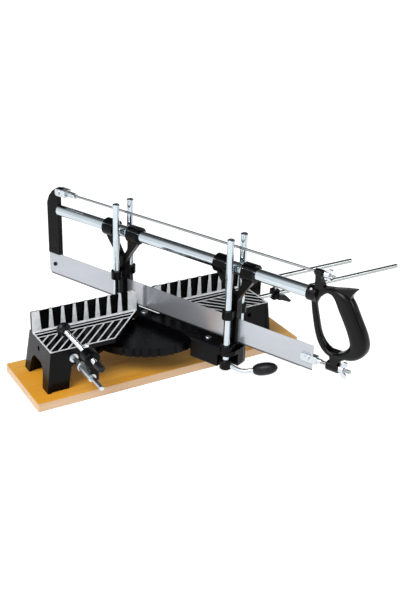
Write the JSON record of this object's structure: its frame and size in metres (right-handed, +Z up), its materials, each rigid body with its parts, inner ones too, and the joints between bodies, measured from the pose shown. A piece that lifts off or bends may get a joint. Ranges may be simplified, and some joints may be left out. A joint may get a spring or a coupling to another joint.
{
  "type": "mitre saw",
  "caption": "Hand mitre saw: a tensioned frame saw slides in two carriages that rise on guide rods on a swinging arm, over a ribbed fence and table on a wooden board.",
  "frame": {"origin": "on the swing axis at the underside of the board", "axes": "+X along the fence to the user's right, +Y away from the user, +Z up"},
  "size_m": [0.758, 0.5904, 0.262],
  "materials": {
    "board_wood": "satin",
    "cast_black": "gloss",
    "chrome_rod": "polished",
    "blade_steel": "brushed",
    "zinc_part": "satin",
    "handle_black": "gloss",
    "grip_plastic": "gloss"
  },
  "bodies": {
    "bed": {"board": "board_wood", "bed_casting": "cast_black", "pivot_screw": "zinc_part", "clamp_bar": "zinc_part", "stop_rod": "chrome_rod", "stop_bracket": "cast_black"},
    "swing_arm": {"arm_casting": "cast_black", "front_guide_rods": "chrome_rod", "rear_guide_rods": "chrome_rod", "rod_caps": "zinc_part", "arm_screw": "zinc_part"},
    "index_lever": {"lever_hub": "cast_black", "lever_rod": "chrome_rod", "lever_grip": "grip_plastic"},
    "front_carriage": {"front_yoke": "cast_black"},
    "rear_carriage": {"rear_yoke": "cast_black"},
    "saw": {"frame_tube": "chrome_rod", "rear_bracket": "cast_black", "blade": "blade_steel", "blade_screw": "zinc_part", "upper_clevis": "zinc_part", "clevis_pin": "zinc_part", "clevis_nut": "zinc_part", "tension_rod": "zinc_part", "pull_fork": "zinc_part", "pull_pin": "zinc_part", "pull_rod": "zinc_part", "handle": "handle_black", "handle_rivet": "zinc_part"},
    "tension_nut": {"tension_wing_nut": "zinc_part"},
    "pull_nut": {"pull_wing_nut": "zinc_part"},
    "clamp_slider": {"clamp_arm": "cast_black", "clamp_sleeve": "zinc_part"},
    "clamp_foot": {"clamp_pad": "grip_plastic"},
    "clamp_spindle": {"clamp_screw": "chrome_rod", "clamp_knob": "grip_plastic"},
    "clamp_lock_nut": {"clamp_wing_nut": "zinc_part"},
    "stop_slider": {"stop_block": "cast_black"},
    "stop_finger_rod": {"stop_finger": "chrome_rod"},
    "stop_lock_screw": {"stop_wing_screw": "grip_plastic"}
  },
  "joints": [
    {"name": "arm_swing", "type": "hinge", "parent": "bed", "child": "swing_arm", "pos_m": [0, 0, 0.07], "axis": [0, 0, 1], "range_deg": [-52.5, 22.5]},
    {"name": "index_lever_turn", "type": "hinge", "parent": "swing_arm", "child": "index_lever", "pos_m": [0.05395, -0.17519, 0.051], "axis": [0, 0, 1], "range_deg": [-30, 15]},
    {"name": "front_lift", "type": "slide", "parent": "swing_arm", "child": "front_carriage", "axis": [0, 0, 1], "range_m": [0, 0.105]},
    {"name": "rear_lift", "type": "slide", "parent": "swing_arm", "child": "rear_carriage", "axis": [0, 0, 1], "range_m": [0, 0.105]},
    {"name": "saw_stroke", "type": "slide", "parent": "front_carriage", "child": "saw", "axis": [0.3827, -0.9239, 0], "range_m": [-0.078, 0.098]},
    {"name": "tension_nut_turn", "type": "hinge", "parent": "saw", "child": "tension_nut", "pos_m": [0.13011, -0.31412, 0.2455], "axis": [0.3827, -0.9239, 0], "range_deg": [-180, 180]},
    {"name": "pull_nut_turn", "type": "hinge", "parent": "saw", "child": "pull_nut", "pos_m": [0.14351, -0.34645, 0.1055], "axis": [0.3827, -0.9239, 0], "range_deg": [-180, 180]},
    {"name": "clamp_arm_slide", "type": "slide", "parent": "bed", "child": "clamp_slider", "axis": [0, 1, 0], "range_m": [-0.038, 0.02]},
    {"name": "clamp_foot_slide", "type": "slide", "parent": "clamp_slider", "child": "clamp_foot", "axis": [0, 1, 0], "range_m": [-0.01, 0.0125]},
    {"name": "clamp_screw_turn", "type": "hinge", "parent": "clamp_foot", "child": "clamp_spindle", "pos_m": [-0.162, -0.1, 0.1], "axis": [0, 1, 0], "range_deg": [-2890, 3610]},
    {"name": "clamp_nut_turn", "type": "hinge", "parent": "clamp_slider", "child": "clamp_lock_nut", "pos_m": [-0.162, -0.12, 0.1], "axis": [0, 1, 0], "range_deg": [-180, 180]},
    {"name": "stop_slide", "type": "slide", "parent": "bed", "child": "stop_slider", "axis": [1, 0, 0], "range_m": [-0.012, 0.265]},
    {"name": "stop_finger_slide", "type": "slide", "parent": "stop_slider", "child": "stop_finger_rod", "axis": [0, 0, 1], "range_m": [0, 0.003]},
    {"name": "stop_screw_turn", "type": "hinge", "parent": "stop_slider", "child": "stop_lock_screw", "pos_m": [0.245, -0.04, 0.0705], "axis": [0, 1, 0], "range_deg": [-180, 180]}
  ],
  "couplings": [
    {"joint": "rear_lift", "follows": "front_lift", "ratio": 1},
    {"joint": "clamp_screw_turn", "follows": "clamp_foot_slide", "rad_per_m": 5026.5}
  ]
}
